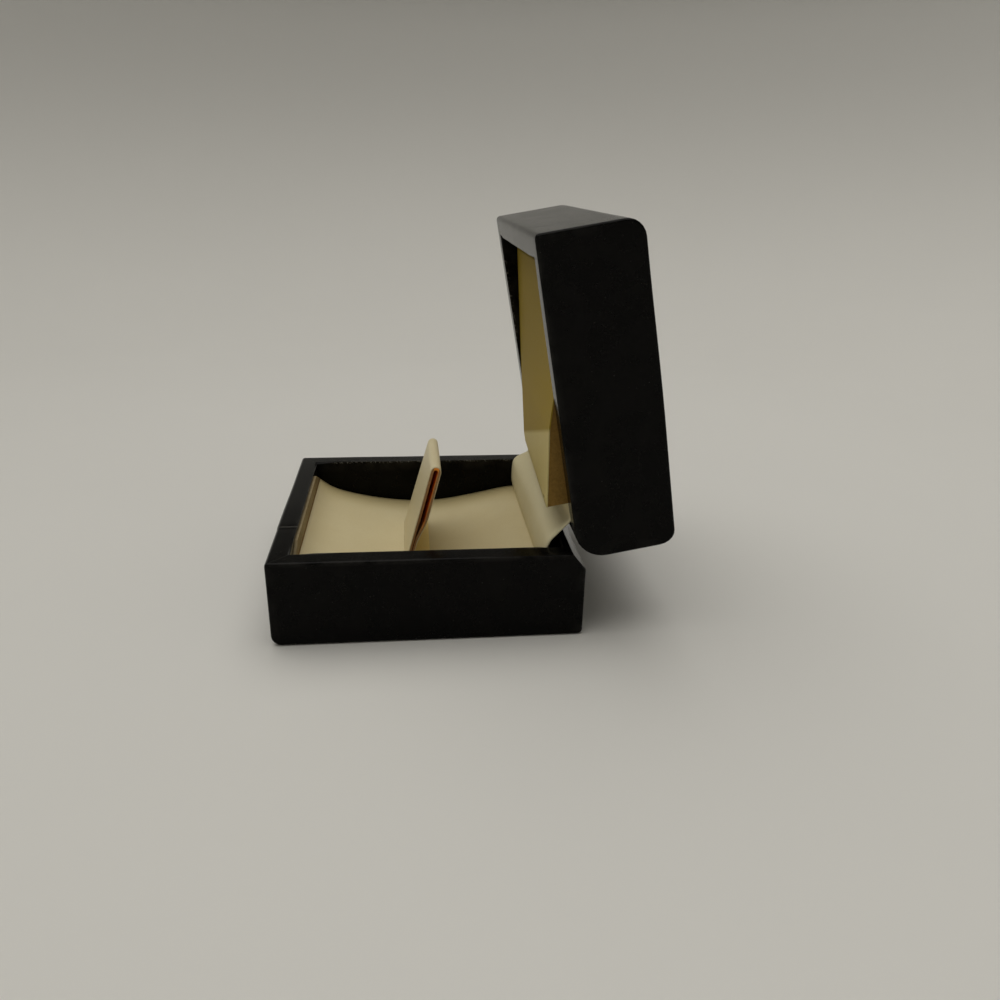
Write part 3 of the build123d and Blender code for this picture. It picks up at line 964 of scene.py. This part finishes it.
class BOX_OT_fin(bpy.types.Operator):
    """Covers the folded fin with cream, and its foot on the tray."""

    bl_idname = "box.fin"
    bl_label = "Fin Cover and Foot"

    def execute(self, context):
        sizes = context.scene.box_sizes
        # Painted light: the cover is a lighter copy of the cream, and the foot a brighter golden copy that
        # stands for warm light bounced into the fin's shade.
        lit_cover_colour, warm_shade_foot_colour = (0.75, 0.66, 0.42), (0.88, 0.70, 0.31)
        radius = fin_half_fold
        top = fin_height - radius
        front_leaf = [(0, 0.25), (0, 4), (0, 9), (0, 14), (0, 19)]
        fold = [(radius - radius * cos(pi * i / 12), top + radius * sin(pi * i / 12)) for i in range(13)]
        back_leaf = [
            (2.6, 20), (2.6, 16), (2.55, 13.2), (2.3, 11), (1.75, 8.4), (1.5, 6.6), (1.5, 3.5), (1.5, 1.0),
        ]
        path = front_leaf + fold + back_leaf

        bow_depth, bow_height, front_half = 0.12, 12, 0.8

        def cover(across, down):
            depth, height = along_line(path, down)
            bow = bow_depth * sin(pi * across) * eased(height / bow_height)
            return fin_place(across, depth - bow if depth < front_half else depth + 0.5 * bow, height)

        made = cream_lining("Fin cover", lit_cover_colour, sizes)
        cream, shader = made[0], made[2]
        shader.inputs["Specular IOR Level"].default_value = 0.25
        shader.inputs["Roughness"].default_value = 0.42
        piece = finish_piece(
            "fin_cover", sheet_grid(20, 90, cover), cream, "fin", ["fin_skin"]
        )
        thicken(piece, 0.19)

        foot_front, foot_length, foot_taper = -3.7, 4.6, 1.2
        foot_lift, back_lift = 0.66, 0.12

        def foot(across, down):
            y = foot_front + foot_length * down
            half = fin_foot_half - foot_taper * down
            lift = foot_lift + back_lift * eased(down)
            return Vector(((2 * across - 1) * half, y, tray_height(y) + lift))

        warm_shaded = cream_lining("Fin foot", warm_shade_foot_colour, sizes)[0]
        flap = finish_piece(
            "fin_foot_flap", sheet_grid(20, 10, foot), warm_shaded, "base", ["fin_foot"]
        )
        thicken(flap, 0.6)
        return {"FINISHED"}


# The strip's two ends as (Y, Z) points, from under the tray's edge to behind the lid's panel
strip_foot = [(27.05, 8.0), (27.0, 10.2), (26.9, 12.2), (26.5, 14.39), (26.5, 17.4)]
strip_left = strip_foot + [
    (26.77, 19.8), (27.6, 21.0), (28.5, 21.5), (29.8, 22.1), (30.9, 22.7), (31.15, 24.0), (31.0, 25.2),
    (30.95, 26.3),
]
strip_right = strip_foot + [
    (27.0, 20.08), (27.62, 21.6), (29.1, 23.3), (30.9, 25.2), (32.15, 26.5), (32.35, 27.8), (32.15, 29.1),
    (32.1, 30.2),
]


class BOX_OT_hinge_strip(bpy.types.Operator):
    """Makes the soft cream strip over the hinge."""

    bl_idname = "box.hinge_strip"
    bl_label = "Hinge Strip"

    def execute(self, context):
        # Painted light: the strip is a lighter copy of the cream.
        lit_strip_colour, end_taper = (0.76, 0.69, 0.45), 0.7

        def strip(across, down):
            left = Vector(along_line(strip_left, down))
            right = Vector(along_line(strip_right, down))
            y, z = left.lerp(right, across)
            half = strip_half - end_taper * eased((down - 0.8) / 0.12)
            return Vector(((2 * across - 1) * half, y, z))

        cream = cream_lining("Hinge strip", lit_strip_colour, context.scene.box_sizes)[0]
        piece = finish_piece(
            "soft_strip", sheet_grid(40, 44, strip), cream, None, ["hinge_strip"]
        )
        thicken(piece, 0.38, offset=1.0)
        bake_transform(piece)
        return {"FINISHED"}


# The panel's depth inside the lid's rim at its two sides, at shares of the way from back to front
liner_left = [(0, -1.93), (0.02, -1.92), (0.045, -1.9), (0.484, 0.7), (1, 3.96)]
liner_right = [(0, -4.9), (0.11, -4.0), (0.35, -2.0), (0.52, 0.4), (1, 3.96)]


class BOX_OT_liner(bpy.types.Operator):
    """Lines the lid's card panel."""

    bl_idname = "box.liner"
    bl_label = "Lid Panel Lining"

    def execute(self, context):
        scene = context.scene
        columns, folded_columns = 64, 2
        flat_columns = columns - 2 * folded_columns
        back_left, back_right, front = 27.0, 22.9, -26.75
        fold_depth = 0.32

        def lining(across, down):
            column = across * columns - folded_columns
            folded = max(-column, column - flat_columns, 0) / folded_columns
            share = min(max(column / flat_columns, 0), 1)
            back = back_left + (back_right - back_left) * share
            left = straight(liner_left, down)
            right = straight(liner_right, down)
            depth = left + (right - left) * share + fold_depth * folded
            x = (2 * share - 1) * (liner_half + 0.05)
            return Vector((x, back + (front - back) * down, lid_rim + depth))

        shade_gold = liner_lining("Lid panel lining", scene.box_colours, scene.box_sizes)
        piece = finish_piece(
            "liner_lining", sheet_grid(columns, 60, lining), shade_gold, "lid",
            ["liner_cover"], turn=open_turn,
        )
        thicken(piece, 0.2)
        return {"FINISHED"}


class BOX_OT_spring(bpy.types.Operator):
    """Winds the hinge's spring, with one arm on each leaf."""

    bl_idname = "box.spring"
    bl_label = "Hinge Spring"

    def execute(self, context):
        wire = 0.15
        coil_radius = 0.7
        turns = 20
        steps = 16
        reach = 4.65
        arm_x = 4.5
        arm_end = 32.6
        steel = bpy.data.materials["Hinge steel"]
        bm = bmesh.new()
        start = Matrix.Translation(hinge_place + Vector((-reach, -coil_radius, 0)))
        made = bmesh.ops.create_circle(bm, cap_ends=False, segments=8, radius=wire, matrix=start)
        bmesh.ops.spin(
            bm, geom=made["verts"] + bm.edges[:], cent=hinge_place, axis=(1, 0, 0),
            dvec=(2 * reach / (turns * steps), 0, 0), angle=2 * pi * turns, steps=turns * steps,
            use_merge=False, use_duplicate=False,
        )
        ends = [edge for edge in bm.edges if edge.is_boundary]
        bmesh.ops.holes_fill(bm, edges=ends, sides=0)
        bmesh.ops.recalc_face_normals(bm, faces=bm.faces)
        rod(bm, (-arm_x, 30.1, 20.41), (-arm_x, arm_end, 20.41), wire)
        finish_piece("spring_coil", bm, steel, "base", ["hinge_spring"])
        bm = bmesh.new()
        rod(bm, (arm_x, 30.3, 20.44), (arm_x, arm_end, 20.44), wire)
        finish_piece("spring_lid_arm", bm, steel, "lid", turn=open_turn)
        return {"FINISHED"}


class BOX_OT_boards_and_hinge(bpy.types.Operator):
    """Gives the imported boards, cards, leaves and tacks their finishes."""

    bl_idname = "box.boards_and_hinge"
    bl_label = "Boards, Cards and Hinge"

    def execute(self, context):
        colours = context.scene.box_colours
        board = pressed_board("Pressed board", colours)
        sides = ("front", "back", "left", "right")
        give(board, *[f"base_{side}_wall" for side in sides], "base_floor")
        give(board, *[f"lid_{side}_wall" for side in sides], "lid_top_board")
        give(tray_card("Tray card"), "tray_board")
        give(fin_card("Fin card"), "fin_board")
        card = tuple(colours.card)
        give(bare_card("Liner card", card, tuple(0.5 * c for c in card))[0], "liner_board")
        give(underside_paper("Underside paper"), "underside_sheet")
        steel = hinge_steel("Hinge steel", colours)
        give(steel, "base_leaf", "lid_leaf", "base_leaf_tacks", "lid_leaf_tacks", "hinge_pin")
        return {"FINISHED"}


def backdrop():
    """A pale round floor whose rim curves up into a low wall, in metres."""
    radius, wall_top, curve = 0.56, 0.6, 0.26
    bm = bmesh.new()
    line = [bm.verts.new((0, 0, 0)), bm.verts.new((radius, 0, 0)), bm.verts.new((radius, 0, wall_top))]
    for pair in zip(line, line[1:]):
        bm.edges.new(pair)
    round_off(bm, [line[1]], curve, 16, "VERTICES")
    bmesh.ops.spin(
        bm, geom=bm.verts[:] + bm.edges[:], cent=(0, 0, 0), axis=(0, 0, 1), dvec=(0, 0, 0),
        angle=2 * pi, steps=96, use_merge=True, use_duplicate=False,
    )
    bmesh.ops.remove_doubles(bm, verts=bm.verts, dist=1e-5)
    bmesh.ops.recalc_face_normals(bm, faces=bm.faces)
    mesh = bpy.data.meshes.new("floor")
    bm.to_mesh(mesh)
    bm.free()
    mesh.shade_smooth()
    return bpy.data.objects.new("floor", mesh)


def floor_paper(name, colours):
    """Pale matt paper, with painted shade that makes it darker where it goes up."""
    made, tree, shader, here = new_material(name, 0.75, specular=0.25)
    slow = texture(tree, "Noise", here, Scale=9.0, Detail=3.0)
    fine = texture(tree, "Noise", here, Scale=900.0, Detail=3.0)
    colour = tuple(colours.floor)
    toned = blend_colours(tree, slow.outputs["Fac"], colour, tuple(0.96 * c for c in colour))
    z = lengths(tree, here)[2]
    # Painted shade: darker with height up the backdrop.
    lower = blend_colours(tree, spread(tree, z, 0.0, 220.0), toned, tuple(0.70 * c for c in colour))
    upper = blend_colours(tree, spread(tree, z, 200.0, 330.0), lower, tuple(0.25 * c for c in colour))
    join(tree, upper, shader.inputs["Base Color"])
    bump(tree, shader, fine.outputs["Fac"], 0.03 * mm, 0.3)
    return made


def soft_light(name, size, power, at, towards, colour):
    """A large soft lamp."""
    lamp = bpy.data.lights.new(name, "AREA")
    lamp.shape = "RECTANGLE"
    lamp.size, lamp.size_y = size
    lamp.energy = power
    lamp.color = colour
    made = bpy.data.objects.new(name, lamp)
    made.location = at
    made.rotation_euler = (Vector(towards) - Vector(at)).to_track_quat("-Z", "Y").to_euler()
    bpy.context.scene.collection.objects.link(made)


class BOX_OT_stage(bpy.types.Operator):
    """Sets the floor, the soft light and the camera."""

    bl_idname = "box.stage"
    bl_label = "Stage"

    def execute(self, context):
        scene = context.scene
        floor = backdrop()
        scene.collection.objects.link(floor)
        floor.data.materials.append(floor_paper("Floor paper", scene.box_colours))
        world = bpy.data.worlds.new("Room")
        world.use_nodes = True
        background = world.node_tree.nodes["Background"]
        background.inputs["Color"].default_value = (0.98, 0.97, 0.94, 1)
        background.inputs["Strength"].default_value = 0.14
        scene.world = world
        soft_light("ceiling", (1.7, 1.7), 13.4, (-0.25, -0.2, 1.2), (0, 0, 0), (1.0, 0.985, 0.95))
        lens = bpy.data.cameras.new("camera")
        lens.lens = 28.94
        lens.sensor_width = 36.0
        lens.clip_start = 0.01
        lens.clip_end = 20.0
        camera = bpy.data.objects.new("camera", lens)
        camera.matrix_world = Matrix((
            (0.1086, -0.3735, 0.9212, 0.19236),
            (0.9939, 0.0215, -0.1085, -0.00331),
            (0.0207, 0.9274, 0.3736, 0.09770),
            (0, 0, 0, 1),
        ))
        scene.collection.objects.link(camera)
        scene.camera = camera
        scene.view_settings.view_transform = "Standard"
        return {"FINISHED"}


class BOX_PT_panel(bpy.types.Panel):
    """Lists the box's pieces in the 3D view's sidebar."""

    bl_idname = "BOX_PT_panel"
    bl_label = "Presentation Box"
    bl_space_type = "VIEW_3D"
    bl_region_type = "UI"
    bl_category = "Box"

    def draw(self, context):
        layout = self.layout
        for group in (context.scene.box_sizes, context.scene.box_colours):
            for name in group.bl_rna.properties.keys():
                if name not in ("name", "rna_type"):
                    layout.prop(group, name)
        for operator in steps_in_order:
            layout.operator(operator.bl_idname)


steps_in_order = (
    BOX_OT_stage,
    BOX_OT_boards_and_hinge,
    BOX_OT_base_leatherette,
    BOX_OT_lid_leatherette,
    BOX_OT_tray,
    BOX_OT_fin,
    BOX_OT_hinge_strip,
    BOX_OT_liner,
    BOX_OT_spring,
)
classes = (BoxSizes, BoxColours, *steps_in_order, BOX_PT_panel)


def register():
    """Registers the classes and the settings."""
    for made in classes:
        bpy.utils.register_class(made)
    bpy.types.Scene.box_sizes = PointerProperty(type=BoxSizes)
    bpy.types.Scene.box_colours = PointerProperty(type=BoxColours)


def unregister():
    """Takes the classes and the settings away again."""
    del bpy.types.Scene.box_colours
    del bpy.types.Scene.box_sizes
    for made in reversed(classes):
        bpy.utils.unregister_class(made)


def main():
    """Builds every piece in order."""
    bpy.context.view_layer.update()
    register()
    for operator in steps_in_order:
        family, name = operator.bl_idname.split(".")
        getattr(getattr(bpy.ops, family), name)()


if __name__ == "__main__":
    main()
